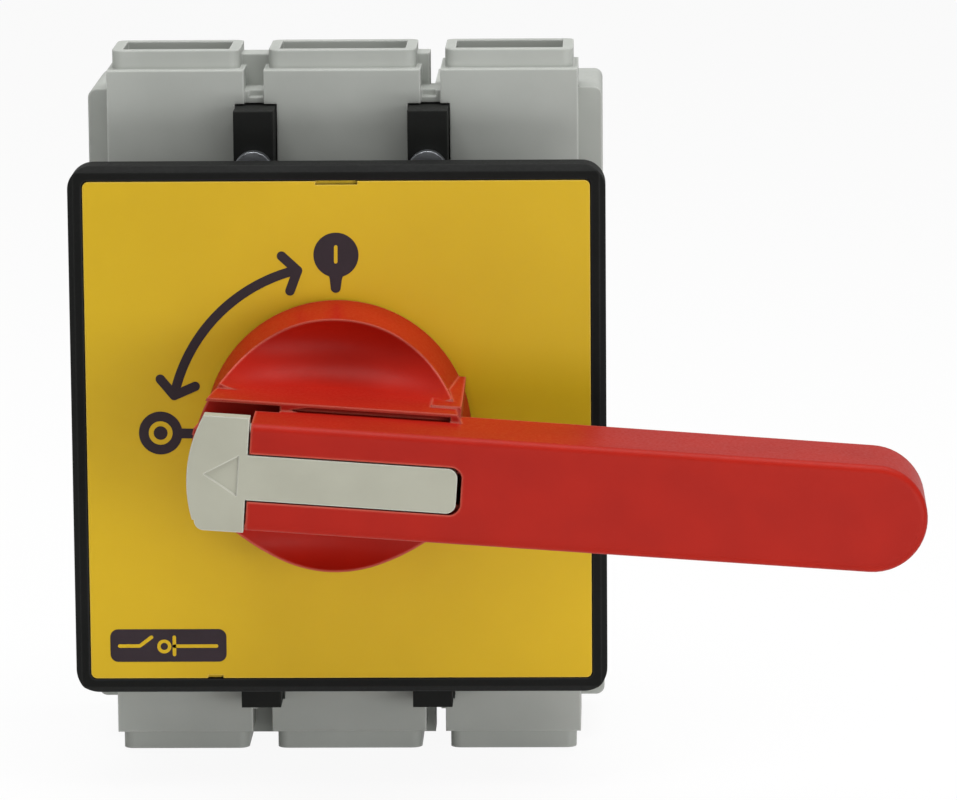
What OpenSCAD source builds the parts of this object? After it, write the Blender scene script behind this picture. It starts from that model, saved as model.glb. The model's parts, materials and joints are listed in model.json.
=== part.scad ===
// Door-mounted isolator switch: square front frame with a yellow legend plate, a red lever
// handle with a grey padlock slide, and a three-pole contact body behind the door.
// Millimetres. X to the right, Y into the cabinet, Z up. The origin is on the turning axis,
// in the rear face of the front frame, which lies on the outside of the door.

/* [Front frame and legend plate] */
// Side of the square front frame
frame_w = 90; // [86:1:100]
// Thickness of the frame in front of the door
frame_t = 6.5; // [5.5:0.1:8]
// Corner radius of the frame
frame_corner_r = 4; // [2:0.5:8]
// Width of the black border round the legend plate
frame_border = 2.6; // [2:0.1:4]
// Wall of the hollow frame
frame_wall = 2.0; // [1.6:0.1:2.4]
// Thickness of the legend plate
legend_t = 1.5; // [1:0.1:2]
// Distance of the door screws from the frame's sides
door_screw_inset = 11; // [10:0.5:13]
// Gap left for the door between frame and mechanism
door_gap = 3.0; // [2.4:0.1:6]

/* [Handle] */
// How far the handle has turned past its off mark, in degrees
rest_turn = 4.1; // [0:0.1:10]
// Angle between off and on, in degrees
turn_range = 90; // [60:5:90]
// Radius of the knob at its base
knob_r = 22.4; // [20:0.1:25]
// Radius of the knob at the lowest point of its rim
knob_rim_r = 21.3; // [19:0.1:22]
// Height of the rim's lowest point in front of the base
knob_rim_h = 13.6; // [11:0.1:15]
// Radius of the knob at the ends of the web
web_end_r = 22.9; // [21.5:0.1:23.5]
// Height of the web's shoulders in front of the base
shoulder_h = 34.1; // [32:0.1:42]
// Half width of the web
shoulder_half = 10.4; // [10.2:0.1:12]
// Radius of the finger scoops where they meet the web
scoop_r = 6; // [4:0.1:8]
// Radius of the finger scoops from side to side
scoop_sweep_r = 25.3; // [24:0.1:27]
// Height of the lever's front face in front of the knob's base
lever_h = 46.1; // [42:0.1:50]
// Depth of the lever behind its front face
lever_d = 18; // [14:0.5:22]
// Slope of the lever's rear edge towards its tip, in degrees
lever_taper = 0.6; // [0.3:0.1:1.5]
// Width of the lever across its front face
lever_w = 17.5; // [16:0.1:20]
// Widening of the lever towards its rear, on each side
lever_draft = 0.3; // [0:0.05:0.6]
// Distance from the axis to the lever's tip
lever_reach = 96.8; // [80:0.2:120]
// Wall of the hollow lever
lever_wall = 2.4; // [2:0.1:3]
// Number of cross ribs in the lever
lever_ribs = 3; // [1:1:5]
// Radius of the knob's hub where it turns in the frame
hub_r = 14.95; // [13:0.05:16]

/* [Padlock slide] */
// Distance from the axis to the slide's rounded end
slide_end_r = 22.3; // [21:0.1:24]
// Distance from the axis to the inner side of the slide's head
slide_head_in = 12.7; // [11:0.1:14]
// Distance from the axis to the far end of the slide's tongue
tongue_end = 21.1; // [18:0.1:24]
// Width of the tongue
tongue_w = 7.3; // [6:0.1:9]
// How far the slide pulls out
slide_travel = 26; // [20:1:28]
// Width of the slot for the padlocks' shackles
shackle_w = 8.2; // [6.5:0.1:8.6]

/* [Drive] */
// Side of the square drive shaft
shaft_w = 8; // [6:0.5:9]
// Radius of the cam drum's journal
journal_r = 11; // [10.6:0.1:12]
// Radius of the cam drum
drum_r = 10; // [9:0.1:10.5]
// Depth of the helical grooves
groove_d = 3; // [2:0.1:3.4]
// Radius of the follower pins
follower_r = 1.5; // [1.2:0.1:1.8]
// Travel of the contact carriage for the whole turn
carriage_travel = 6; // [5:0.5:7]

/* [Contact body] */
// Distance between the poles
pole_pitch = 28.5; // [27:0.1:30]
// Wall between the outer chambers and the pole block's sides
block_side_wall = 3.0; // [2:0.1:4]
// Depth of the pole block
block_d = 30; // [29:0.5:36]
// Depth of the mechanism in front of the pole block
mech_d = 27; // [26:0.5:30]
// Inner width of each contact chamber
chamber_w = 25.8; // [22:0.1:26]
// Inner height of the contact chambers
chamber_h = 72; // [66:0.5:74]
// Wall of the mechanism cover
mech_wall = 2.5; // [2:0.1:3]

/* [Terminals and contacts] */
// Thickness of the fixed contact bars
bar_t = 2.5; // [2:0.1:3]
// Width of the fixed contact bars
bar_w = 11.2; // [9:0.1:12]
// Outer width of the cage clamps
cage_w = 15.2; // [13:0.1:16]
// Height of the cage clamps
cage_h = 9; // [8:0.1:9.5]
// Clear space for the wire in a cage clamp
wire_gap = 5.8; // [4.4:0.1:6]
// Distance from the chambers' end wall to the clamp screws
clamp_inset = 10.5; // [10:0.1:11]
// Radius of the clamp screws
clamp_screw_r = 2.9; // [2.4:0.1:3]
// Height of the contact tips from the turning axis
tip_z = 13; // [11:0.5:15]
// Thickness of the bridge contacts
bridge_t = 2; // [1.5:0.1:2.4]
// Width of the bridge contacts
bridge_w = 9.2; // [8:0.1:9.4]
// Wire radius of the contact springs
spring_wire_r = 0.45; // [0.35:0.05:0.6]

/* [Terminal shrouds] */
// Wall of the terminal shrouds
shroud_wall = 2.0; // [1.6:0.1:2.2]
// Height of the shrouds' first step over the pole block
step1_h = 4.3; // [3.5:0.1:6]
// Height of the shrouds' second step over the first
step2_h = 3.3; // [2.6:0.1:4]
// Distance from the pole block's front back to the rear of the second step
mouth_back = 7; // [6:0.1:9]

/* [Hidden] */
$fn = 64;
eps = 0.02;

// Clearances
running_gap = 0.05;
slide_gap = 0.25;
seat_gap = 0.3;
fit_gap = 0.15;
knob_gap = 0.4;
tap_gap = 0.25;

// Depths of the front
frame_front = -frame_t;
legend_back = frame_front + legend_t;
frame_inner = legend_back + frame_wall;
legend_w = frame_w - 2 * frame_border;
door_screw_pitch = frame_w - 2 * door_screw_inset;
legend_corner_r = 1;
legend_hole_r = hub_r + 1.6;
knob_base = frame_front - knob_gap;

// Depths and sizes of the knob and the lever
rim_y = knob_base - knob_rim_h;
shoulder_y = knob_base - shoulder_h;
lever_front = knob_base - lever_h;
lever_back = lever_front + lever_d;
lever_half = lever_w / 2;
lever_half_back = lever_half + lever_draft;
lever_tip_x = lever_reach - lever_half;
lever_edge_r = 1.2;
scoop_back_y = knob_base - 11.1;
scoop_axis_y = scoop_back_y - scoop_sweep_r;
scoop_end_y = knob_base - 24.6;
root_half = shoulder_half + 0.4;
root_x = 20.8;
root_l = 5;
groove_side_w = 0.9;
groove_side_d = 1.8;

// The padlock slide and its slot
slot_clear = slide_gap;
tongue_t = 2.4;
stem_half = 2.3;
foot_half = 3.9;
foot_t = 1.9;
stem_h = 12.1;
foot_back = lever_front + tongue_t + stem_h - 0.5;
foot_front = foot_back - foot_t;
head_back = shoulder_y - seat_gap;
head_top = 9.7;
head_bottom = 9.0;
head_t = 3;
head_core_half = 6.8;
head_corner_r = 1.6;
slot_end = tongue_end + 0.7;
shackle_l = slide_travel - 5;
shackle_x = -slide_head_in + 2.8 + shackle_l / 2;
shackle_y = (lever_front + tongue_t + foot_front) / 2;

// Depths of the drive and the contact body
mech_front = door_gap;
block_front = mech_front + mech_d;
block_back = block_front + block_d;
hub_back = mech_front - 0.6;
journal_front = mech_front + 0.4;
journal_back = mech_front + 9;
drum_back = block_front - 1.5;
follower_y = block_front - 12;
groove_half = (follower_r + slide_gap) / cos(31) + 0.06;
carriage_per_deg = carriage_travel / turn_range;
collar_r = drum_r + 4.5;
collar_bore_r = drum_r + 0.6;
collar_half = 2.9;
plate_front = drum_back + 1;
plate_back = plate_front + 3;
plate_half_z = 5.5;
plate_half_x = pole_pitch + 7.5;
rail_in = bridge_w / 2 + 0.4;
rail_t = 1.8;
rail_half_z = 3.2;
bridge_front = plate_back + 9.7;
bridge_back = bridge_front + bridge_t;
tip_t = 1.2;
tip_r = 3;
rest_contact_gap = carriage_travel * (turn_range - rest_turn) / turn_range + 0.27;
fixed_tip_y = bridge_back + tip_t + rest_contact_gap;
foot_y = fixed_tip_y + tip_t;
chamber_floor = foot_y + bar_t;
chamber_half_z = chamber_h / 2;

// Terminals and outline of the contact body
tab_front = block_front + 0.6;
tab_back = tab_front + bar_t;
clamp_z = chamber_half_z + clamp_inset;
block_half_z = clamp_z + 7.1;
block_half_x = pole_pitch + chamber_w / 2 + block_side_wall;
cage_wall = 1.8;
cage_front = tab_front - wire_gap - cage_wall - 0.2;
cage_back = tab_back + 6.7;
cage_rear_wall = 3.4;
pocket_back = cage_back + 1.2;
tab_end = block_half_z - 0.4;
clamp_head_r = 4.4;
clamp_head_h = 3.5;
access_r = clamp_head_r + 0.5;

// Shrouds
shroud_front = block_front - 10;
step2_front = shroud_front + 1.5;
shroud_back = block_front + mouth_back;
step1_z = block_half_z + step1_h;
step2_z = step1_z + step2_h;
mech_half_x = block_half_x - 1.4;
mech_half_z = chamber_half_z + 2;
shroud_in = mech_half_z + 3;
slot_top_z = block_half_z - 1.5;
slot_half = 3.6;
pole_half = chamber_w / 2 - 1.1;
middle_half = chamber_w / 2 + 0.5;
bridge_z = slot_top_z + 2.1;
lug_top = slot_top_z - 0.3;
lug_front = shroud_front - 8;
body_screw_x = pole_pitch / 2 + 0.55;
body_screw_z = mech_half_z + 3.9;
body_screw_r = 1.9;
body_head_r = 3.3;
body_head_h = 2.6;
body_screw_reach = 10;
door_screw_r = 2.4;
door_screw_reach = 9.4;

POLES = [-pole_pitch, 0, pole_pitch];

// Colours
C_BLACK = [0.10, 0.10, 0.11];
C_YELLOW = [0.82, 0.66, 0.16];
C_RED = [0.75, 0.13, 0.10];
C_SLIDE = [0.66, 0.67, 0.62];
C_GREY = [0.62, 0.64, 0.61];
C_STEEL = [0.70, 0.71, 0.73];
C_COPPER = [0.78, 0.55, 0.36];
C_RUBBER = [0.06, 0.06, 0.06];
C_CAM = [0.88, 0.87, 0.82];

// A flat shape drawn across X and Z, filled from depth y0 to depth y1
module along_y(y0, y1) {
    translate([0, y1, 0]) rotate([90, 0, 0]) linear_extrude(y1 - y0) children();
}

// A shape drawn as radius and depth, turned about the axis
module about_y() {
    rotate([-90, 0, 0]) rotate_extrude($fn = 96) children();
}

module rod_y(r, y0, y1) {
    translate([0, y0, 0]) rotate([-90, 0, 0]) cylinder(r = r, h = y1 - y0);
}

module block(x0, x1, y0, y1, z0, z1) {
    translate([x0, y0, z0]) cube([x1 - x0, y1 - y0, z1 - z0]);
}

module rounded_rect(w, h, r) {
    square([w, h - 2 * r], center = true);
    square([w - 2 * r, h], center = true);
    for (sx = [-1, 1], sz = [-1, 1]) translate([sx * (w / 2 - r), sz * (h / 2 - r)]) circle(r);
}

module rounded_square(side, r) {
    rounded_rect(side, side, r);
}

module at_corners(pitch) {
    for (sx = [-1, 1], sz = [-1, 1]) translate([sx * pitch / 2, 0, sz * pitch / 2]) children();
}

module turned() {
    rotate([0, rest_turn, 0]) children();
}

// Front frame: a hollow moulding with a recess for the legend plate and a bearing for the hub
module frame_outer() {
    chamfer = 1;
    half = frame_w / 2;
    side_shape = [
        [-half, 0], [-half, chamfer - frame_t], [chamfer - half, -frame_t],
        [half - chamfer, -frame_t], [half, chamfer - frame_t], [half, 0]
    ];
    intersection() {
        along_y(frame_front, 0) rounded_square(frame_w, frame_corner_r);
        translate([0, 0, -half]) linear_extrude(frame_w) polygon(side_shape);
        rotate([0, 90, 0]) translate([0, 0, -half]) linear_extrude(frame_w) polygon(side_shape);
    }
}

module front_frame() {
    recess_w = legend_w + 2 * fit_gap;
    hollow_w = frame_w - 2 * (frame_wall + 0.2);
    boss_r = 6.8;
    hub_boss_r = hub_r + 4;
    boss_relief = 0.2;
    color(C_BLACK) difference() {
        frame_outer();
        along_y(frame_front - 1, legend_back) rounded_square(recess_w, legend_corner_r);
        difference() {
            along_y(frame_inner, 1) rounded_square(hollow_w, frame_corner_r - 2);
            rod_y(hub_boss_r, frame_inner - 1, 2);
            at_corners(door_screw_pitch) rod_y(boss_r, frame_inner - 1, 2);
            for (a = [0 : 45 : 135]) {
                rotate([0, a, 0]) block(-frame_w, frame_w, frame_inner - 1, -0.8, -0.8, 0.8);
            }
        }
        // The bosses end just short of the rim, so that only the rim bears on the door
        along_y(-boss_relief, 1) rounded_square(hollow_w, frame_corner_r - 2);
        rod_y(hub_r + running_gap + 0.03, frame_front - 1, 1);
        at_corners(door_screw_pitch) {
            rod_y(2.75, frame_front, 1);
            rod_y(4.8, frame_front, legend_back + 2.6);
        }
    }
}

// Legend plate: a thin tile with pry notches at its top and bottom edges
module legend_plate() {
    half = legend_w / 2;
    color(C_YELLOW) difference() {
        along_y(frame_front, legend_back) rounded_square(legend_w, legend_corner_r);
        rod_y(legend_hole_r, frame_front - 1, 0);
        block(-3.4, 3.6, frame_front - 1, frame_front + 0.8, half - 0.6, half + 1);
        block(-22.6, -20, frame_front - 1, frame_front + 0.8, -half - 1, 0.5 - half);
    }
}

// Panel seal: a soft square ring inside the frame's rear edge
module panel_seal() {
    outer = frame_w - 2 * (frame_wall + 0.2) - 0.4;
    color(C_RUBBER) difference() {
        along_y(-0.7, -0.1) rounded_square(outer, frame_corner_r - 2);
        along_y(-1, 1) rounded_square(outer - 5, 1);
        at_corners(door_screw_pitch) rod_y(7, -2, 2);
    }
}

module hub_seal() {
    color(C_RUBBER) difference() {
        rod_y(legend_hole_r - 0.1, frame_front + 0.1, legend_back);
        rod_y(hub_r + slide_gap, frame_front - 1, 1);
    }
}

// A pan head screw with its head at depth y0, its shank reaching to depth y2
module screw_y(head_r, shank_r, y0, y1, y2) {
    rod_y(head_r, y0, y1);
    rod_y(shank_r, y1 - eps, y2);
    rod_y(shank_r - 0.4, y2 - eps, y2 + 0.4);
}

module door_screws() {
    head_front = legend_back + 0.2;
    color(C_STEEL) at_corners(door_screw_pitch) difference() {
        screw_y(4.5, door_screw_r, head_front, legend_back + 2.6, mech_front + door_screw_reach);
        rotate([0, 45, 0]) {
            block(-2.6, 2.6, head_front - 1, head_front + 1.2, -0.5, 0.5);
            block(-0.5, 0.5, head_front - 1, head_front + 1.2, -2.6, 2.6);
        }
    }
}

// Knob, drawn before the rest turn: a round body that flares towards the ends of its web
module knob_body() {
    about_y() polygon([
        [0, knob_base], [knob_r, knob_base], [knob_rim_r, rim_y],
        [web_end_r, shoulder_y], [0, shoulder_y]
    ]);
}

// Finger scoop above the web: a wheel with a rounded edge, sunk into the round body
module finger_scoop() {
    wheel_in = scoop_sweep_r - scoop_r;
    translate([0, scoop_axis_y, shoulder_half + scoop_r]) rotate_extrude($fn = 96) {
        translate([0, -scoop_r]) square([wheel_in, 2 * scoop_r]);
        intersection() {
            translate([wheel_in, 0]) circle(scoop_r);
            translate([0, -scoop_r]) square([scoop_sweep_r, 2 * scoop_r]);
        }
    }
    block(-30, 30, shoulder_y - 1, scoop_end_y, shoulder_half, 30);
}

// Half of the lever's section, with its rounded front edge
module lever_half_shape(back) {
    r = lever_edge_r;
    polygon([
        [0, lever_front], [lever_half - r, lever_front], [lever_half - r, lever_front + r],
        [lever_half, lever_front + r], [lever_half_back, back], [0, back]
    ]);
    translate([lever_half - r, lever_front + r]) circle(r);
}

module lever_run(x0, x1, back) {
    for (side = [1, -1]) mirror([0, 0, side < 0 ? 1 : 0])
        translate([x1, 0, 0]) rotate([0, -90, 0]) linear_extrude(x1 - x0) lever_half_shape(back);
}

module lever_tip(back) {
    translate([lever_tip_x, 0, 0]) about_y() intersection() {
        lever_half_shape(back);
        translate([0, lever_front - 1]) square([lever_w, lever_d + 2]);
    }
}

// Hollow of the lever, open at the rear, with cross ribs left standing
module lever_hollow() {
    half = lever_half - lever_wall;
    x0 = root_x + lever_wall;
    x1 = lever_tip_x;
    front = lever_front + lever_wall + 0.2;
    difference() {
        union() {
            block(x0, x1, front, lever_back + 1, -half, half);
            translate([x1, 0, 0]) rod_y(half, front, lever_back + 1);
        }
        for (i = [1 : lever_ribs]) {
            x = x0 + (x1 - x0) * i / (lever_ribs + 1);
            block(x - 0.8, x + 0.8, front - 1, lever_back - 2, -lever_w, lever_w);
        }
    }
}

// Slot for the padlock slide: a front recess, a narrow slot and a wider foot at its bottom
module slide_slot() {
    recess_half = tongue_w / 2 + slot_clear;
    recess_back = lever_front + tongue_t + slot_clear;
    recess_r = 1.6 + slot_clear;
    stem = stem_half + slot_clear;
    foot = foot_half + slot_clear;
    out_x = 2 * slide_end_r;
    block(-out_x, slot_end - recess_r, lever_front - 1, recess_back, -recess_half, recess_half);
    block(0, slot_end, lever_front - 1, recess_back, recess_r - recess_half, recess_half - recess_r);
    for (s = [-1, 1]) translate([slot_end - recess_r, 0, s * (recess_half - recess_r)])
        rod_y(recess_r, lever_front - 1, recess_back);
    block(-out_x, slot_end, lever_front, foot_back + slot_clear, -stem, stem);
    block(-out_x, slot_end, foot_front - slot_clear, foot_back + slot_clear, -foot, foot);
}

// Narrow grooves between the lever's sides and the web's shoulders, and notches beside the slide
module shoulder_grooves() {
    inner = lever_half + 0.25;
    outer = inner + groove_side_w;
    depth = shoulder_y + 5;
    for (s = [-1, 1]) mirror([0, 0, s < 0 ? 1 : 0]) {
        along_y(shoulder_y - 1, shoulder_y + groove_side_d)
            polygon([[-7, inner + 0.3], [-4, outer], [19.2, outer], [19.2, inner], [-5.5, inner]]);
        block(-30, -8.5, shoulder_y - 1, depth, foot_half + slot_clear + 1.2, outer);
    }
}

// What the lever's sloping rear edge leaves out
module lever_rear_slope() {
    translate([root_x, lever_back, 0]) rotate([0, 0, -lever_taper])
        block(0, lever_reach, 0, lever_d, -lever_w, lever_w);
}

module handle_grip() {
    ring_seat_back = seat_gap + 1.3;
    color(C_RED) turned() difference() {
        union() {
            difference() {
                knob_body();
                for (s = [0, 1]) mirror([0, 0, s]) finger_scoop();
            }
            block(root_x - root_l, root_x, lever_back - 1, knob_base, -root_half, root_half);
            lever_run(-slide_head_in + seat_gap, root_x, shoulder_y + 2);
            lever_run(root_x - 8, lever_tip_x, lever_back);
            lever_tip(lever_back);
            rod_y(hub_r, knob_base - 1, hub_back);
        }
        lever_hollow();
        lever_rear_slope();
        slide_slot();
        shoulder_grooves();
        // Groove for the retaining ring and socket for the square shaft
        difference() {
            rod_y(hub_r + 1, seat_gap - 0.1, ring_seat_back);
            rod_y(hub_r - 1, seat_gap - 1, ring_seat_back + 1);
        }
        block(-shaft_w / 2, shaft_w / 2, knob_base - 22, hub_back + 1, -shaft_w / 2, shaft_w / 2);
    }
}

module drive_shaft() {
    color(C_STEEL) turned()
        block(-shaft_w / 2, shaft_w / 2, knob_base - 22, drum_back - 2.5, -shaft_w / 2, shaft_w / 2);
}

// Retaining ring: a split spring ring in the hub's groove, behind the frame
module retaining_ring() {
    color(C_STEEL) turned() difference() {
        rod_y(hub_r + 2.2, seat_gap, seat_gap + 1.1);
        rod_y(hub_r - 1 + eps, seat_gap - 1, seat_gap + 2);
        block(-3, 3, seat_gap - 1, seat_gap + 2, 0, hub_r * 2);
    }
}

// Path of a follower round the drum: depth falls as the angle rises
function groove_y(turn) = follower_y - carriage_per_deg * turn;

// One helical groove, swept through the turns that the follower meets
module helical_groove(start_angle) {
    reach = 18;
    t0 = -(turn_range - rest_turn) - reach;
    t1 = rest_turn + reach;
    steps = 26;
    r0 = drum_r - groove_d;
    r1 = drum_r + 1.5;
    rings = [for (i = [0 : steps])
        let (t = t0 + (t1 - t0) * i / steps, a = start_angle + t, y = groove_y(t))
        for (c = [[r0, -1], [r1, -1], [r1, 1], [r0, 1]])
            [c[0] * sin(a), y + c[1] * groove_half, c[0] * cos(a)]];
    sides = [for (i = [0 : steps - 1], j = [0 : 3])
        [4 * i + j, 4 * i + (j + 1) % 4, 4 * (i + 1) + (j + 1) % 4, 4 * (i + 1) + j]];
    polyhedron(points = rings, faces = concat([[3, 2, 1, 0]], sides,
        [[for (j = [0 : 3]) 4 * steps + j]]), convexity = 4);
}

// Cam drum: journal, drum with two helical grooves, square hole for the shaft
module cam_drum() {
    color(C_CAM) difference() {
        turned() difference() {
            union() {
                rod_y(journal_r, journal_front, journal_back);
                rod_y(drum_r, journal_back - 1, drum_back);
            }
            block(-shaft_w / 2, shaft_w / 2, 0, drum_back - 2.5, -shaft_w / 2, shaft_w / 2);
        }
        helical_groove(90);
        helical_groove(270);
    }
}

// Padlock slide: head, tongue and a stem with a slot for the shackles
module padlock_slide() {
    tongue_half = tongue_w / 2;
    slot_run = (shackle_l - shackle_w) / 2;
    r = 1.6;
    tip = tongue_end - r;
    head_corner_x = sqrt(pow(slide_end_r, 2) - pow(head_bottom, 2)) - head_corner_r + 0.3;
    color(C_SLIDE) turned() difference() {
        union() {
            // Thin head plate with its lower corner rounded, and a narrower core behind it
            intersection() {
                rod_y(slide_end_r, lever_front, lever_front + head_t);
                along_y(lever_front, lever_front + head_t) {
                    translate([-30, head_corner_r - head_bottom])
                        square([30 - slide_head_in, head_top + head_bottom - head_corner_r]);
                    translate([-head_corner_x, head_corner_r - head_bottom]) circle(head_corner_r);
                    translate([-head_corner_x, -head_bottom])
                        square([head_corner_x - slide_head_in, head_corner_r + 1]);
                }
            }
            intersection() {
                rod_y(slide_end_r - 0.6, lever_front + 1, head_back);
                block(-30, -slide_head_in, lever_front + 1, head_back, -head_core_half, head_core_half);
            }
            block(-slide_head_in - 1, tip, lever_front, lever_front + tongue_t, -tongue_half, tongue_half);
            block(0, tongue_end, lever_front, lever_front + tongue_t, r - tongue_half, tongue_half - r);
            for (s = [-1, 1]) translate([tip, 0, s * (tongue_half - r)])
                rod_y(r, lever_front, lever_front + tongue_t);
            block(-slide_end_r + 2, tip, lever_front + 1, foot_back, -stem_half, stem_half);
            block(-slide_end_r + 4, tip, foot_front, foot_back, -foot_half, foot_half);
        }
        // Shackle slot
        for (s = [-1, 1]) translate([shackle_x + s * slot_run, shackle_y, 0])
            cylinder(r = shackle_w / 2, h = 3 * stem_half, center = true);
        block(shackle_x - slot_run, shackle_x + slot_run,
            shackle_y - shackle_w / 2, shackle_y + shackle_w / 2, -2 * stem_half, 2 * stem_half);
        // Engraved arrowhead
        along_y(lever_front - 1, lever_front + 0.3)
            polygon([[-19.6, 0.2], [-14.1, 3.5], [-14.1, -3.1]]);
    }
}

// Mechanism cover: front bearing, cavity for the carriage and lugs between the poles
module mechanism_cover() {
    neck_half = mech_half_x - 3;
    front_step = 1.5;
    grip_half = 3.2;
    grip_pitch = mech_half_z * 0.5;
    rib_half = 0.7;
    rib_x = mech_half_x * 0.31;
    rib_z = mech_half_z * 0.32;
    color(C_BLACK) difference() {
        union() {
            along_y(mech_front, mech_front + front_step)
                rounded_rect(2 * (neck_half - front_step), 2 * (mech_half_z - front_step), 3);
            along_y(mech_front + front_step - eps, block_front)
                rounded_rect(2 * neck_half, 2 * mech_half_z, 4);
            along_y(lug_front, block_front) rounded_rect(2 * mech_half_x, 2 * mech_half_z, 2);
            for (sx = [-1, 1], sz = [-1, 1]) mirror([sx < 0 ? 1 : 0, 0, 0]) mirror([0, 0, sz < 0 ? 1 : 0])
                block(body_screw_x - slot_half + 0.2, body_screw_x + slot_half - 0.2,
                    lug_front, block_front, mech_half_z - 1, lug_top);
        }
        // Grip hollows in both sides
        for (z = [-grip_pitch, 0, grip_pitch], sx = [-1, 1]) translate([sx * neck_half, 0, z])
            block(-1.2, 1.2, mech_front + 3, lug_front, -grip_half, grip_half);
        rod_y(journal_r + running_gap, mech_front - 1, journal_back + 1);
        rod_y(collar_r + 0.6, journal_back + 0.4, block_front + 1);
        // Rear cells, leaving ribs, the screw bosses and a wall round the carriage
        difference() {
            block(-mech_half_x + mech_wall, mech_half_x - mech_wall, journal_back + 2, block_front + 1,
                -mech_half_z + mech_wall, mech_half_z - mech_wall);
            rod_y(collar_r + 3, mech_front, block_front + 2);
            at_corners(door_screw_pitch) rod_y(5.5, mech_front, block_front + 2);
            for (s = [-2, -1, 1, 2]) {
                block(s * rib_x - rib_half, s * rib_x + rib_half, mech_front, block_front + 2,
                    -mech_half_z, mech_half_z);
                block(-mech_half_x, mech_half_x, mech_front, block_front + 2,
                    s * rib_z - rib_half, s * rib_z + rib_half);
            }
        }
        block(-plate_half_x - 1, plate_half_x + 1, plate_front - 1, block_front + 1,
            -plate_half_z - slide_gap, plate_half_z + slide_gap);
        at_corners(door_screw_pitch)
            rod_y(door_screw_r + 0.1, mech_front - 1, mech_front + door_screw_reach + 1.6);
        for (sx = [-1, 1], sz = [-1, 1]) translate([sx * body_screw_x, 0, sz * body_screw_z])
            rod_y(body_screw_r + tap_gap, mech_front, block_front + 1);
    }
}

module body_screws() {
    head_front = lug_front - body_head_h;
    color(C_STEEL) for (sx = [-1, 1], sz = [-1, 1])
        translate([sx * body_screw_x, 0, sz * body_screw_z]) difference() {
            screw_y(body_head_r, body_screw_r, head_front, lug_front,
                block_front + body_screw_reach);
            rotate([0, 30, 0]) {
                block(-2, 2, head_front - 1, head_front + 1.3, -0.45, 0.45);
                block(-0.45, 0.45, head_front - 1, head_front + 1.3, -2, 2);
            }
        }
}

// Pole block: three contact chambers, clamp pockets and screwdriver holes
module pole_block() {
    base_h = 3;
    base_inset = 1.5;
    barrier_half = 1.2;
    barrier_depth = 3.5;
    color(C_GREY) difference() {
        union() {
            along_y(block_front, block_back - base_h)
                rounded_rect(2 * block_half_x, 2 * block_half_z, 1.5);
            along_y(block_back - base_h - eps, block_back)
                rounded_rect(2 * (block_half_x - base_inset), 2 * (block_half_z - base_inset), 2);
        }
        // Barrier slots between the poles, at both ends
        for (sx = [-1, 1], s = [0, 1]) mirror([0, 0, s]) translate([sx * pole_pitch / 2, 0, 0])
            block(-barrier_half, barrier_half, block_front + 6, block_back + 1,
                block_half_z - barrier_depth, block_half_z + 1);
        for (x = POLES) {
            block(x - chamber_w / 2, x + chamber_w / 2, block_front - 1, chamber_floor,
                -chamber_half_z, chamber_half_z);
            for (s = [-1, 1]) mirror([0, 0, s < 0 ? 1 : 0]) {
                block(x - bar_w / 2 - fit_gap, x + bar_w / 2 + fit_gap, block_front - 1, tab_back,
                    chamber_half_z - 1, tab_end + 0.1);
                block(x - cage_w / 2 - 0.6, x + cage_w / 2 + 0.6, block_front - 1, pocket_back,
                    clamp_z - cage_h / 2 - 0.5, clamp_z + cage_h / 2 + 0.8);
                translate([x, 0, clamp_z]) rod_y(access_r, pocket_back - 1, block_back + 1);
            }
        }
        block(-plate_half_x - 1, plate_half_x + 1, block_front - 1, plate_back + carriage_travel + 1,
            -plate_half_z - slide_gap, plate_half_z + slide_gap);
        for (sx = [-1, 1], sz = [-1, 1]) translate([sx * body_screw_x, 0, sz * body_screw_z])
            rod_y(body_screw_r + 0.1, block_front - 1, block_front + body_screw_reach + 1);
    }
}

// Terminal shroud for the top: three boxes with open cable mouths, joined by bridges
module shroud() {
    slot_in = body_screw_x - slot_half;
    slot_out = body_screw_x + slot_half;
    side_x = body_screw_x + 2;
    outer_x = pole_pitch + pole_half;
    // Left and right sides of each pole's box, and of the room for its cable lower down
    sides = [[-outer_x, -side_x], [-middle_half, middle_half], [side_x, outer_x]];
    inside = shroud_wall + 0.6;
    low_sides = [
        [inside - outer_x, -slot_out - shroud_wall], [shroud_wall - slot_in, slot_in - shroud_wall],
        [slot_out + shroud_wall, outer_x - inside]
    ];
    seat = block_half_z + fit_gap;
    cap_inset = 0.8;
    cap_r = 1.8;
    gap_top = step1_z + 1.9;
    difference() {
        union() {
            for (s = sides) {
                block(s[0], s[1], shroud_front, block_front, shroud_in, step1_z);
                block(s[0], s[1], block_front - 1, shroud_back, seat, step1_z);
                translate([(s[0] + s[1]) / 2, (step2_front + shroud_back) / 2, step1_z - 1])
                    linear_extrude(step2_h + 1)
                    rounded_rect(s[1] - s[0] - 2 * cap_inset, shroud_back - step2_front, cap_r);
            }
            // Bridges between the boxes, and the blocks that close the gaps behind them
            block(-pole_pitch, pole_pitch, step2_front, block_front, slot_top_z, bridge_z);
            block(-side_x - 1, -middle_half + 1, block_front - 2, block_front + 4, seat, gap_top);
            block(middle_half - 1, body_screw_x, block_front - 2, block_front + 4, seat, gap_top);
        }
        for (sx = [-1, 1]) translate([sx * body_screw_x, 0, 0]) {
            block(-slot_half, slot_half, shroud_front - 1, shroud_back + 1, shroud_in - 1, slot_top_z);
            // Notch in the front of the bridge
            block(-1.2, 1.2, step2_front - 1, step2_front + 1.2, bridge_z - 1.1, bridge_z + 1);
        }
        for (i = [0 : 2]) {
            block(sides[i][0] + inside, sides[i][1] - inside, step2_front + shroud_wall,
                shroud_back - shroud_wall, slot_top_z + 2, step2_z + 1);
            block(low_sides[i][0], low_sides[i][1], shroud_front + shroud_wall, block_front + 1,
                shroud_in - 1, slot_top_z + 3);
        }
    }
}

module top_shroud() {
    color(C_GREY) shroud();
}

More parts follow.
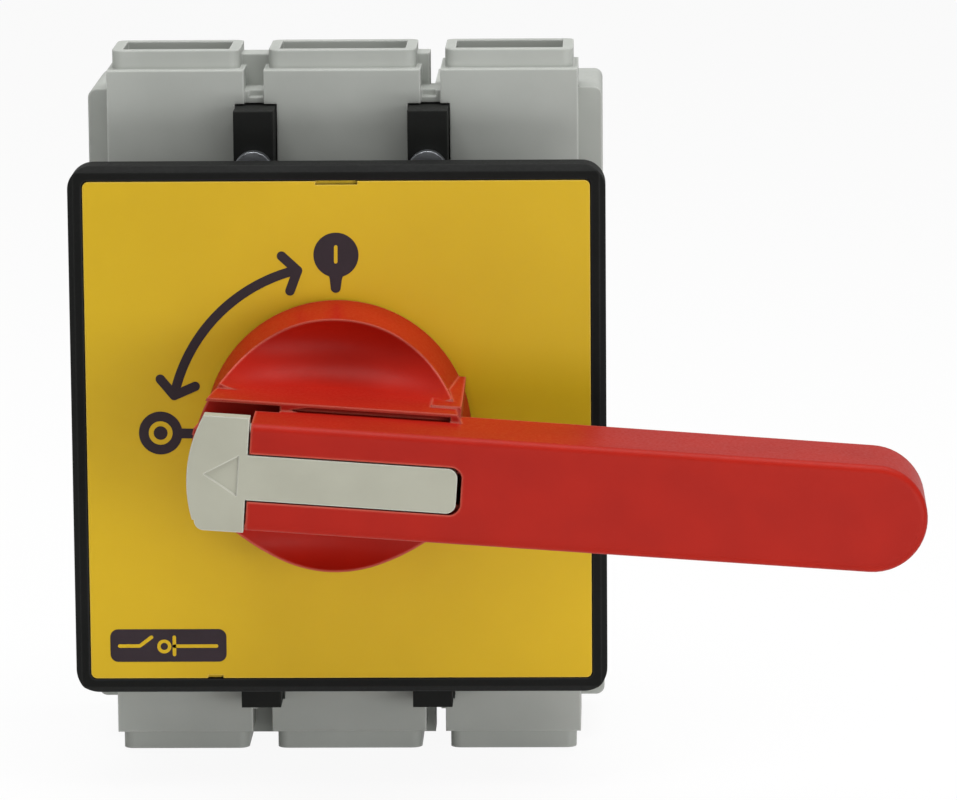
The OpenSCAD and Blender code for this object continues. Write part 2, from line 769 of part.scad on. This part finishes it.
module bottom_shroud() {
    color(C_GREY) mirror([0, 0, 1]) shroud();
}

// Fixed contact: a bar bent from the clamp's tab to the contact foot, with a silver tip
module fixed_contact(x) {
    shape = [
        [tab_front, tab_end], [tab_back, tab_end], [tab_back, chamber_half_z],
        [chamber_floor, chamber_half_z], [chamber_floor, tip_z - 3.5], [foot_y, tip_z - 3.5],
        [foot_y, chamber_half_z - bar_t], [tab_front, chamber_half_z - bar_t]
    ];
    translate([x - bar_w / 2, 0, 0]) rotate([90, 0, 90]) linear_extrude(bar_w) polygon(shape);
    translate([x, 0, tip_z]) rod_y(tip_r, fixed_tip_y, foot_y + 0.2);
}

module line_contact(i) {
    color(C_COPPER) fixed_contact(POLES[i]);
}

module load_contact(i) {
    color(C_COPPER) mirror([0, 0, 1]) fixed_contact(POLES[i]);
}

// Cage clamp: a box that the clamp screw pulls up against the tab
module cage(x) {
    z0 = clamp_z - cage_h / 2;
    z1 = clamp_z + cage_h / 2;
    difference() {
        block(x - cage_w / 2, x + cage_w / 2, cage_front, cage_back, z0, z1);
        block(x - bar_w / 2 - 0.2, x + bar_w / 2 + 0.2, cage_front + cage_wall,
            cage_back - cage_rear_wall, z0 - 1, z1 + 1);
        translate([x, 0, clamp_z]) rod_y(clamp_screw_r + 0.1, cage_front + cage_wall, cage_back + 1);
    }
}

module line_clamp(i) {
    color(C_STEEL) cage(POLES[i]);
}

module load_clamp(i) {
    color(C_STEEL) mirror([0, 0, 1]) cage(POLES[i]);
}

module clamp_screws() {
    head_front = pocket_back + 0.3;
    color(C_STEEL) for (x = POLES, s = [-1, 1]) translate([x, 0, s * clamp_z]) difference() {
        union() {
            rod_y(clamp_screw_r, tab_back + 0.05, head_front + eps);
            rod_y(clamp_head_r, head_front, head_front + clamp_head_h);
        }
        block(-clamp_head_r - 1, clamp_head_r + 1, head_front + clamp_head_h - 1.5,
            head_front + clamp_head_h + 1, -0.6, 0.6);
    }
}

// Contact carriage: collar with two follower pins, arms, rear plate and three spring windows
module contact_carriage() {
    arm_in = collar_bore_r + 0.4;
    arm_out = collar_r - 0.9;
    arm_half_z = 5;
    stop_gap = 0.1;
    stop_back = bridge_back + 3 + stop_gap;
    color(C_CAM) difference() {
        union() {
            difference() {
                rod_y(collar_r, follower_y - collar_half, follower_y + collar_half);
                rod_y(collar_bore_r, follower_y - 5, follower_y + 5);
            }
            for (s = [-1, 1]) {
                block(min(s * arm_in, s * arm_out), max(s * arm_in, s * arm_out),
                    follower_y, plate_front + 1, -arm_half_z, arm_half_z);
                // Follower pin, pointing at the axis
                translate([s * (drum_r - groove_d + slide_gap), follower_y, 0]) rotate([0, s * 90, 0])
                    cylinder(r = follower_r, h = groove_d + 2);
            }
            block(-plate_half_x, plate_half_x, plate_front, plate_back, -plate_half_z, plate_half_z);
            for (x = POLES) {
                for (s = [-1, 1]) translate([x + s * (rail_in + rail_t / 2), 0, 0])
                    block(-rail_t / 2, rail_t / 2, plate_back - 1, stop_back, -rail_half_z, rail_half_z);
                block(x - rail_in - rail_t, x + rail_in + rail_t, bridge_back + stop_gap, stop_back,
                    -rail_half_z, rail_half_z);
            }
        }
    }
}

// Bridge contact: a bar with a silver tip at each end
module bridge_contact(i) {
    color(C_COPPER) translate([POLES[i], 0, 0]) {
        block(-bridge_w / 2, bridge_w / 2, bridge_front, bridge_back, -tip_z - 4, tip_z + 4);
        for (s = [-1, 1]) translate([0, 0, s * tip_z]) rod_y(tip_r, bridge_back - 0.2, bridge_back + tip_t);
    }
}

// Contact spring: a coil swept along its helix, between the plate and the bridge
module contact_spring(i) {
    coil_r = 3;
    turns = 4;
    per_turn = 14;
    ring_n = 6;
    length = bridge_front - plate_back - 0.1;
    rise = length - 2 * spring_wire_r;
    count = turns * per_turn;
    points = [for (k = [0 : count], j = [0 : ring_n - 1])
        let (a = 360 * k / per_turn, b = 360 * j / ring_n, r = coil_r + spring_wire_r * cos(b))
        [r * cos(a), spring_wire_r + rise * k / count + spring_wire_r * sin(b), r * sin(a)]];
    sides = [for (k = [0 : count - 1], j = [0 : ring_n - 1])
        let (a = ring_n * k, b = ring_n * (k + 1), next = (j + 1) % ring_n)
        [a + j, b + j, b + next, a + next]];
    caps = [[for (j = [0 : ring_n - 1]) j], [for (j = [ring_n - 1 : -1 : 0]) ring_n * count + j]];
    color(C_STEEL) translate([POLES[i], plate_back + 0.05, 0])
        polyhedron(points = points, faces = concat(sides, caps), convexity = 8);
}

front_frame();
legend_plate();
panel_seal();
hub_seal();
door_screws();
mechanism_cover();
pole_block();
top_shroud();
bottom_shroud();
body_screws();
for (i = [0 : 2]) {
    line_contact(i);
    load_contact(i);
    line_clamp(i);
    load_clamp(i);
    bridge_contact(i);
    contact_spring(i);
}
clamp_screws();
handle_grip();
drive_shaft();
retaining_ring();
cam_drum();
padlock_slide();
contact_carriage();
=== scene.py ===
"""Looks of the door-mounted isolator switch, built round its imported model.

Metres, in the model's own frame: X to the right, Y into the cabinet, Z up. The origin is on the
turning axis, in the plane where the front frame bears on the door.
"""
import json
import math

import bpy
import numpy as np
from mathutils import Matrix, Vector


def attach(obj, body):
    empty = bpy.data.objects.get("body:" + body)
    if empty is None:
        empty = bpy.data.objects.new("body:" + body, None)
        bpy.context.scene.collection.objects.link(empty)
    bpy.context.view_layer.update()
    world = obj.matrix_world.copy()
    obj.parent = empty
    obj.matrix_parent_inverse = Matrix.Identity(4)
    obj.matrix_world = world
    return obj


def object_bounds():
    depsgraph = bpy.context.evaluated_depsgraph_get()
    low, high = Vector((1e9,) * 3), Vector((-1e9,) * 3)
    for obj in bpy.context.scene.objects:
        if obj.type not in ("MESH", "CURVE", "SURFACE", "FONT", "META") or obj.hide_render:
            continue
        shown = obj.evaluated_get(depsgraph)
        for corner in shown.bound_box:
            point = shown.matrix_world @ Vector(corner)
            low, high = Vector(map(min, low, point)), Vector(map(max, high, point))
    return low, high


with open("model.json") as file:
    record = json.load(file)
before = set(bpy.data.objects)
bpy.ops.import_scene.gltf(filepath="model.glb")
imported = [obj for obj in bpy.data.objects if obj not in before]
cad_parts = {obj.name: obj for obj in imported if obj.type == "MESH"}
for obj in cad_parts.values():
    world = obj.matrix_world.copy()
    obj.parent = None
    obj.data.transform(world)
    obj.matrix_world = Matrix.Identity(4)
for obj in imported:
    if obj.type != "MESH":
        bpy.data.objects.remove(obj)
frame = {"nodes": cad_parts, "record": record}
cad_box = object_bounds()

MM = 0.001

# Print on the legend plate, in mm: the plate's front face, the print's thickness above it and how
# far it reaches into the plate. Strokes that cross are lifted unevenly, so none share a plane.
LEGEND_Y = -6.5
PRINT_T = 0.04
PRINT_ROOT = 0.01
STROKE_LIFT = 0.004
BARE_LIFT = 0.02
BAR_LIFT = 0.03
ARROW_HALF = 0.8
THIN_HALF = 0.3

# The photograph's view: 10 degrees from above, 1.4 from the right, on a long lens
PHOTO_W = 957
FOCAL_PX = 5921.0
SENSOR_MM = 36.0
AZIMUTH, ELEVATION, ROLL = math.radians(1.40), math.radians(10.0), math.radians(-0.45)
DISTANCE = 1.0
TARGET = Vector((0.0234, 0.0, 0.0041))

# White surroundings: how much of the floor is plain white to the eye, the backdrop, the light that
# comes from all round, and the share of the backdrop that a glossy surface mirrors
FLOOR_WHITE = 0.93
BACKDROP = 1.0
AMBIENT = 0.25
MIRRORED = 0.4
FLOOR_HALF = 6
FLOOR_POINTS = 13
FLOOR_DROP = 0.0003


def linear(colour):
    """An sRGB hex colour as the linear colour that a shader takes."""
    c = np.array([int(colour[i:i + 2], 16) for i in (1, 3, 5)]) / 255.0
    c = np.where(c <= 0.04045, c / 12.92, ((c + 0.055) / 1.055) ** 2.4)
    return (*c.tolist(), 1.0)


def add(tree, kind, values=None, links=None, **settings):
    """One shader node with its settings, its socket values and its incoming links."""
    node = tree.nodes.new(kind)
    for key, value in settings.items():
        setattr(node, key, value)
    for key, value in (values or {}).items():
        node.inputs[key].default_value = value
    for key, source in (links or {}).items():
        tree.links.new(source, node.inputs[key])
    return node


def per_metre(size_mm):
    """Noise scale whose blotches are about size_mm across."""
    return 1.0 / (size_mm * MM)


def blank_material(name):
    """A material with an empty node tree, and that tree."""
    mat = bpy.data.materials.new(name)
    mat.use_nodes = True
    mat.node_tree.nodes.clear()
    return mat, mat.node_tree


# ---------------------------------------------------------------- materials

def moulded(name, base, shade, edge_highlight, roughness, grain_mm, grain_bump, edge_mm, cloud_mm=9.0,
            specular=0.5, edge_amount=0.5):
    """Injection-moulded plastic. Broad clouds of a second shade, a fine spark-eroded grain in the
    normal, a slightly uneven gloss, and edges rounded in shading by edge_mm, along which a lighter
    colour is mixed in as a painted highlight."""
    mat, tree = blank_material(name)
    place = add(tree, "ShaderNodeTexCoord").outputs["Object"]
    cloud = add(tree, "ShaderNodeTexNoise", {"Scale": per_metre(cloud_mm), "Detail": 3.0},
                {"Vector": place})
    grain = add(tree, "ShaderNodeTexNoise", {"Scale": per_metre(grain_mm), "Detail": 2.0},
                {"Vector": place})
    soft = add(tree, "ShaderNodeMapRange", {"From Min": 0.35, "From Max": 0.65, "To Min": 0.0,
                                            "To Max": 1.0}, {"Value": cloud.outputs["Fac"]})
    body = add(tree, "ShaderNodeMixRGB", {"Color1": linear(base), "Color2": linear(shade)},
               {"Fac": soft.outputs["Result"]})
    rounded = add(tree, "ShaderNodeBevel", {"Radius": edge_mm * MM}, samples=6)
    flat = add(tree, "ShaderNodeNewGeometry")
    same = add(tree, "ShaderNodeVectorMath", links={0: rounded.outputs["Normal"],
                                                   1: flat.outputs["Normal"]},
               operation="DOT_PRODUCT")
    # Painted highlight: where the rounded normal turns away from the flat one, a lighter edge
    # colour is mixed into the base colour.
    at_edge = add(tree, "ShaderNodeMapRange", {"From Min": 0.998, "From Max": 0.86, "To Min": 0.0,
                                               "To Max": edge_amount},
                  {"Value": same.outputs["Value"]})
    painted_edge_highlight = add(tree, "ShaderNodeMixRGB", {"Color2": linear(edge_highlight)},
               {"Fac": at_edge.outputs["Result"], "Color1": body.outputs["Color"]})
    bump = add(tree, "ShaderNodeBump", {"Strength": grain_bump, "Distance": 0.05 * MM},
               {"Height": grain.outputs["Fac"], "Normal": rounded.outputs["Normal"]})
    gloss = add(tree, "ShaderNodeMapRange", {"From Min": 0.3, "From Max": 0.7,
                                             "To Min": roughness - 0.06,
                                             "To Max": roughness + 0.06},
                {"Value": grain.outputs["Fac"]})
    shader = add(tree, "ShaderNodeBsdfPrincipled", {"IOR": 1.5, "Specular IOR Level": specular},
                 {"Base Color": painted_edge_highlight.outputs["Color"], "Roughness": gloss.outputs["Result"],
                  "Normal": bump.outputs["Normal"]})
    add(tree, "ShaderNodeOutputMaterial", links={"Surface": shader.outputs["BSDF"]})
    return mat


def metal(name, base, shade, roughness, mark_mm, stretch=(1, 1, 1)):
    """Bare or plated metal. Fine marks, drawn out along the part where stretch is small, colour and
    gloss follow the same marks, and a small rounded edge."""
    mat, tree = blank_material(name)
    place = add(tree, "ShaderNodeTexCoord").outputs["Object"]
    drawn = add(tree, "ShaderNodeMapping", {"Scale": stretch}, {"Vector": place})
    marks = add(tree, "ShaderNodeTexNoise", {"Scale": per_metre(mark_mm), "Detail": 4.0},
                {"Vector": drawn.outputs["Vector"]})
    body = add(tree, "ShaderNodeMixRGB", {"Color1": linear(base), "Color2": linear(shade)},
               {"Fac": marks.outputs["Fac"]})
    gloss = add(tree, "ShaderNodeMapRange", {"To Min": roughness - 0.08, "To Max": roughness + 0.1},
                {"Value": marks.outputs["Fac"]})
    rounded = add(tree, "ShaderNodeBevel", {"Radius": 0.15 * MM}, samples=4)
    bump = add(tree, "ShaderNodeBump", {"Strength": 0.25, "Distance": 0.03 * MM},
               {"Height": marks.outputs["Fac"], "Normal": rounded.outputs["Normal"]})
    shader = add(tree, "ShaderNodeBsdfPrincipled", {"Metallic": 1.0},
                 {"Base Color": body.outputs["Color"], "Roughness": gloss.outputs["Result"],
                  "Normal": bump.outputs["Normal"]})
    add(tree, "ShaderNodeOutputMaterial", links={"Surface": shader.outputs["BSDF"]})
    return mat


# The third colour of each moulded finish is a painted highlight, mixed in along its rounded edges.
# Front frame: glass-filled polyamide, moulded black, satin with a fine eroded grain
frame_black = moulded("polyamide_moulded_black", "#101110", "#0d0e0d", "#3c3d3c", 0.6, 0.45, 0.25,
                      0.6, specular=0.1)
# Legend plate: polycarbonate, moulded yellow, smooth, so its gloss is even and clouds are faint
legend_yellow = moulded("polycarbonate_moulded_yellow", "#c8a616", "#c3a114", "#ecd070", 0.45, 0.8,
                        0.06, 0.35, cloud_mm=30.0, specular=0.2)
# Handle: polyamide moulded in signal red, satin, a little glossier than the frame
handle_red = moulded("polyamide_moulded_red", "#9e190b", "#98170a", "#e8806c", 0.45, 0.5, 0.12, 0.7,
                     specular=0.12)
# Padlock slide: acetal, moulded warm grey, with a pale painted highlight along its edges
slide_grey = moulded("acetal_moulded_grey", "#a3a395", "#9e9e90", "#ecece4", 0.46, 0.5, 0.10, 0.35,
                     specular=0.2)
# Contact body: polyamide, moulded light grey, matte with flow clouds
body_grey = moulded("polyamide_moulded_light_grey", "#a9aca7", "#a3a6a1", "#e4e6e2", 0.52, 0.6,
                    0.15, 0.5, cloud_mm=14.0, specular=0.3)
# Mechanism cover: polyamide, moulded black, matte
mechanism_black = moulded("polyamide_moulded_matte_black", "#151614", "#111211", "#30312e", 0.6,
                          0.5, 0.2, 0.4, specular=0.12)
# Seals: foamed rubber, matte and slightly pitted
seal_rubber = moulded("rubber_foamed_black", "#151515", "#1c1c1c", "#242424", 0.85, 0.6, 0.7, 0.2)
# Drum and carriage: acetal, moulded natural white, waxy
cam_plastic = moulded("acetal_moulded_natural", "#e0ddd0", "#d8d4c5", "#f2f0e8", 0.38, 0.6, 0.08,
                      0.3)
# Screws, clamps, shaft, ring and springs: zinc-plated steel, passivated
zinc_steel = metal("steel_zinc_plated", "#c9ccd0", "#aeb2b8", 0.3, 0.8)
# Contacts: drawn copper, marks run along the bars
copper_bar = metal("copper_drawn", "#c98357", "#b06f48", 0.32, 0.5, stretch=(1, 0.15, 0.15))
# Print on the legend plate: pad-printed ink, dark, thin and slightly grained
print_ink = moulded("ink_pad_printed_dark", "#30262c", "#2b2227", "#30262c", 0.5, 0.35, 0.12, 0.05,
                    specular=0.15, edge_amount=0.0)
# The plate's own yellow, where it shows inside the print
bare_yellow = moulded("polycarbonate_moulded_yellow_in_print", "#c8a616", "#c3a114", "#c8a616",
                      0.45, 0.8, 0.06, 0.05, cloud_mm=30.0, specular=0.2, edge_amount=0.0)

FINISH = {
    "frame_black": frame_black, "legend_yellow": legend_yellow, "handle_red": handle_red,
    "slide_grey": slide_grey, "body_grey": body_grey, "mechanism_black": mechanism_black,
    "seal_rubber": seal_rubber, "zinc_steel": zinc_steel, "copper": copper_bar,
    "cam_plastic": cam_plastic,
}
for part in frame["record"]["subparts"]:
    node = frame["nodes"][part["node"]]
    node.data.materials.clear()
    node.data.materials.append(FINISH[part["material_slot"]])

# Slot and material of the two kinds of print
INK = ("frame_black", print_ink)
BARE = ("legend_yellow", bare_yellow)


# ---------------------------------------------------------------- pieces

def piece(name, points, faces, body, slot, material):
    """A closed mesh in metres from points in millimetres, riding on a body."""
    mesh = bpy.data.meshes.new(name)
    mesh.from_pydata((np.asarray(points, float) * MM).tolist(), [], faces)
    mesh.materials.append(material)
    mesh.shade_flat()
    obj = bpy.data.objects.new(name, mesh)
    bpy.context.scene.collection.objects.link(obj)
    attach(obj, body)


def band_faces(n, m, wrap):
    """Quads of a grid of n stations by m section points; the section closes on itself, and the
    stations too where wrap is true, or else each end gets one face."""
    i, j = np.meshgrid(np.arange(n if wrap else n - 1), np.arange(m), indexing="ij")
    a, b = i * m + j, i * m + (j + 1) % m
    c, d = ((i + 1) % n) * m + (j + 1) % m, ((i + 1) % n) * m + j
    quads = np.stack([a, b, c, d], -1).reshape(-1, 4).tolist()
    if not wrap:
        quads += [list(range(m))[::-1], list(range((n - 1) * m, n * m))]
    return quads


def print_depths(lift):
    """Y of a print's front face and of its back, just inside the plate."""
    return LEGEND_Y - PRINT_T - lift, LEGEND_Y + PRINT_ROOT


def printed_line(name, path, half_width, paint=INK, lift=0.0):
    """A printed stroke with round ends. Path points p(s) are moved sideways by the half width w(s),
    which falls as a quarter circle over the last w at each end; the section is PRINT_T deep."""
    path = np.asarray(path, float)
    steps = np.linalg.norm(np.diff(path, axis=0), axis=1)
    s = np.concatenate([[0.0], np.cumsum(steps)])
    w_path = np.broadcast_to(np.asarray(half_width, float), (len(path),))
    r0, r1 = w_path[0], w_path[-1]
    turn = np.linspace(0.06, 1.0, 7) * math.pi / 2
    lead, tail = -r0 * np.cos(turn), s[-1] + r1 * np.cos(turn[::-1])
    middle = np.linspace(0, s[-1], max(24, 2 * len(path)))[1:-1]
    where = np.concatenate([lead, middle, tail])
    direction0 = (path[1] - path[0]) / steps[0]
    direction1 = (path[-1] - path[-2]) / steps[-1]
    inside = np.clip(where, 0, s[-1])
    centre = np.stack([np.interp(inside, s, path[:, k]) for k in (0, 1)], -1)
    centre += np.minimum(where, 0)[:, None] * direction0
    centre += np.maximum(where - s[-1], 0)[:, None] * direction1
    w = np.interp(inside, s, w_path)
    w = np.where(where < 0, np.sqrt(np.maximum(r0 ** 2 - where ** 2, 0)), w)
    w = np.where(where > s[-1], np.sqrt(np.maximum(r1 ** 2 - (where - s[-1]) ** 2, 0)), w)
    tangent = np.gradient(centre, axis=0)
    tangent /= np.linalg.norm(tangent, axis=1, keepdims=True)
    side = np.stack([-tangent[:, 1], tangent[:, 0]], -1) * w[:, None]
    front, back = print_depths(lift)
    left, right = centre + side, centre - side
    rows = [np.column_stack([q[:, 0], np.full(len(q), y), q[:, 1]])
            for q, y in ((left, front), (left, back), (right, back), (right, front))]
    points = np.stack(rows, 1).reshape(-1, 3)
    piece(name, points, band_faces(len(centre), 4, False), "frame", *paint)


def printed_ring(name, x, z, outer, inner):
    """A bare ring: a section PRINT_T deep carried round the circle x + r sin a, z + r cos a."""
    a = np.linspace(0, 2 * math.pi, 72, endpoint=False)
    front, back = print_depths(BARE_LIFT)
    rows = [np.column_stack([x + r * np.sin(a), np.full(len(a), y), z + r * np.cos(a)])
            for r, y in ((outer, back), (outer, front), (inner, front), (inner, back))]
    points = np.stack(rows, 1).reshape(-1, 3)
    piece(name, points, band_faces(len(a), 4, True), "frame", *BARE)


def printed_patch(name, outline):
    """A printed patch: the closed outline (x, z), carried from just inside the plate to its
    front."""
    n = len(outline)
    points = np.concatenate([np.column_stack([outline[:, 0], np.full(n, y), outline[:, 1]])
                             for y in print_depths(0.0)])
    i = np.arange(n)
    sides = np.stack([i, (i + 1) % n, (i + 1) % n + n, i + n], -1).tolist()
    faces = sides + [list(range(n))[::-1], list(range(n, 2 * n))]
    piece(name, points, faces, "frame", *INK)


def circle(x, z, r, n=72):
    """Points x + r cos a, z + r sin a."""
    a = np.linspace(0, 2 * math.pi, n, endpoint=False)
    return np.column_stack([x + r * np.cos(a), z + r * np.sin(a)])


def rounded_panel(x0, x1, z0, z1, r, n=10):
    """Four quarter circles of radius r round the corners of a rectangle."""
    a = np.linspace(0, math.pi / 2, n)
    quarter = np.column_stack([np.cos(a), np.sin(a)]) * r
    turn = [np.array([[1, 0], [0, 1]]), np.array([[0, 1], [-1, 0]]),
            np.array([[-1, 0], [0, -1]]), np.array([[0, -1], [1, 0]])]
    corners = [(x1 - r, z1 - r), (x0 + r, z1 - r), (x0 + r, z0 + r), (x1 - r, z0 + r)]
    return np.concatenate([quarter @ t + c for t, c in zip(turn, corners)])


# On mark: a disc with a short bar in it, and a stem that points at the axis
printed_patch("print_on_disc", circle(-0.08, 29.94, 3.78))
printed_line("print_on_stem", [(-0.1, 27.6), (-0.15, 25.8), (-0.19, 24.4)], [1.5, 1.0, 0.85],
             lift=STROKE_LIFT)
printed_line("print_on_bar", [(-0.1, 31.3), (-0.14, 28.8)], THIN_HALF, BARE, BAR_LIFT)
# Off mark: a disc with a ring in it, and a stem that points at the axis
printed_patch("print_off_disc", circle(-29.94, -0.19, 3.66))
printed_line("print_off_stem", [(-27.2, -0.25), (-24.6, -0.3)], 0.84, lift=STROKE_LIFT)
printed_ring("print_off_ring", -29.94, -0.19, 2.0, 1.17)
# Double arrow between the two marks
arc = np.radians(np.linspace(13.0, 75.0, 40))
printed_line("print_arc", np.column_stack([-28.25 * np.cos(arc), 28.25 * np.sin(arc)]), ARROW_HALF)
for mark, tip, barbs in (("on", (-6.55, 27.35), ((-9.2, 29.8), (-7.85, 23.9))),
                         ("off", (-27.55, 6.2), ((-29.85, 9.0), (-24.0, 7.75)))):
    for k, barb in enumerate(barbs):
        printed_line(f"print_arrow_{mark}_{k + 1}", [tip, barb], ARROW_HALF,
                     lift=STROKE_LIFT * (k + 1))
# Isolator symbol on its panel
printed_patch("print_symbol_panel", rounded_panel(-39.09, -19.40, -39.56, -33.92, 1.35))
for k, line in enumerate(([(-37.5, -36.81), (-34.1, -36.81), (-32.1, -35.3)],
                          [(-28.24, -35.3), (-28.24, -38.3)], [(-28.24, -36.85), (-21.1, -36.85)])):
    printed_line(f"print_symbol_line_{k + 1}", line, THIN_HALF, BARE, BARE_LIFT)
printed_ring("print_symbol_ring", -29.95, -36.9, 1.2, 0.62)


# ---------------------------------------------------------------- floor, light and camera

def stage_material():
    """White floor: a diffuse surface that keeps shadows, and for the eye mostly plain white."""
    mat, tree = blank_material("floor_paper_white")
    paper = add(tree, "ShaderNodeBsdfDiffuse", {"Color": (0.86, 0.86, 0.86, 1.0)})
    white = add(tree, "ShaderNodeEmission", {"Strength": 1.0})
    path = add(tree, "ShaderNodeLightPath")
    seen = add(tree, "ShaderNodeMath", links={0: path.outputs["Is Camera Ray"],
                                             1: path.outputs["Is Glossy Ray"]},
               operation="MAXIMUM")
    both = add(tree, "ShaderNodeMath", links={0: seen.outputs["Value"],
                                             1: path.outputs["Is Transmission Ray"]},
               operation="MAXIMUM")
    share = add(tree, "ShaderNodeMath", {1: FLOOR_WHITE}, {0: both.outputs["Value"]},
                operation="MULTIPLY")
    mix = add(tree, "ShaderNodeMixShader", links={"Fac": share.outputs["Value"],
                                                  1: paper.outputs["BSDF"],
                                                  2: white.outputs["Emission"]})
    add(tree, "ShaderNodeOutputMaterial", links={"Surface": mix.outputs["Shader"]})
    return mat


low = cad_box[0][2] - FLOOR_DROP
spread = np.linspace(-FLOOR_HALF, FLOOR_HALF, FLOOR_POINTS)
u, v = np.meshgrid(spread, spread, indexing="ij")
ground = np.stack([u, v, np.full_like(u, low)], -1).reshape(-1, 3)
cells = np.arange(FLOOR_POINTS - 1)
gi, gj = np.meshgrid(cells, cells, indexing="ij")
corner = (gi * FLOOR_POINTS + gj).reshape(-1)
floor_mesh = bpy.data.meshes.new("floor")
floor_mesh.from_pydata(ground.tolist(), [], np.stack(
    [corner, corner + FLOOR_POINTS, corner + FLOOR_POINTS + 1, corner + 1], -1).tolist())
floor_mesh.materials.append(stage_material())
floor = bpy.data.objects.new("floor", floor_mesh)
bpy.context.scene.collection.objects.link(floor)

world = bpy.data.worlds.new("studio")
bpy.context.scene.world = world
world.use_nodes = True
sky = world.node_tree
sky.nodes.clear()
backdrop = add(sky, "ShaderNodeBackground", {"Color": (1, 1, 1, 1), "Strength": BACKDROP})
ambient = add(sky, "ShaderNodeBackground", {"Color": (1.0, 0.99, 0.97, 1), "Strength": AMBIENT})
rays = add(sky, "ShaderNodeLightPath")
# A glossy surface mirrors the same white, dimmed as in a room where only the backdrop is lit
mirrored = add(sky, "ShaderNodeMath", {1: MIRRORED}, {0: rays.outputs["Is Glossy Ray"]},
               operation="MULTIPLY")
seen = add(sky, "ShaderNodeMath", links={0: rays.outputs["Is Camera Ray"],
                                        1: rays.outputs["Is Transmission Ray"]},
           operation="MAXIMUM")
bright = add(sky, "ShaderNodeMath", links={0: seen.outputs["Value"], 1: mirrored.outputs["Value"]},
             operation="MAXIMUM")
sky_mix = add(sky, "ShaderNodeMixShader", links={"Fac": bright.outputs["Value"],
                                                 1: ambient.outputs["Background"],
                                                 2: backdrop.outputs["Background"]})
add(sky, "ShaderNodeOutputWorld", links={"Surface": sky_mix.outputs["Shader"]})


def softbox(name, place, aim, size, watts):
    """A rectangular area light at place, turned towards aim."""
    data = bpy.data.lights.new(name, "AREA")
    data.shape = "RECTANGLE"
    data.size, data.size_y = size
    data.energy = watts
    lamp = bpy.data.objects.new(name, data)
    lamp.location = place
    lamp.rotation_euler = (Vector(aim) - Vector(place)).to_track_quat("-Z", "Y").to_euler()
    lamp.visible_camera = False
    bpy.context.scene.collection.objects.link(lamp)


softbox("light_top", (0.05, -0.10, 0.80), (0.02, 0.0, 0.0), (0.9, 0.6), 9.0)
softbox("light_front_left", (-0.75, -0.95, 0.25), (0.0, 0.0, 0.0), (0.7, 0.7), 0.6)
softbox("light_front_right", (0.80, -0.90, 0.12), (0.02, 0.0, -0.02), (0.8, 0.35), 3.0)
softbox("light_low", (0.17, -0.35, -0.03), (0.04, 0.0, 0.0), (0.5, 0.06), 0.42)

look = Vector((-math.sin(AZIMUTH) * math.cos(ELEVATION), math.cos(AZIMUTH) * math.cos(ELEVATION),
               -math.sin(ELEVATION)))
across = look.cross(Vector((0, 0, 1))).normalized()
upward = across.cross(look)
right = across * math.cos(ROLL) + upward * math.sin(ROLL)
up = upward * math.cos(ROLL) - across * math.sin(ROLL)
camera_data = bpy.data.cameras.new("photo_view")
camera_data.sensor_fit = "HORIZONTAL"
camera_data.sensor_width = SENSOR_MM
camera_data.lens = FOCAL_PX / PHOTO_W * SENSOR_MM
camera = bpy.data.objects.new("photo_view", camera_data)
turn = Matrix((right, up, -look)).transposed().to_4x4()
camera.matrix_world = Matrix.Translation(TARGET - look * DISTANCE) @ turn
bpy.context.scene.collection.objects.link(camera)
bpy.context.scene.camera = camera
bpy.context.scene.view_settings.view_transform = "Standard"
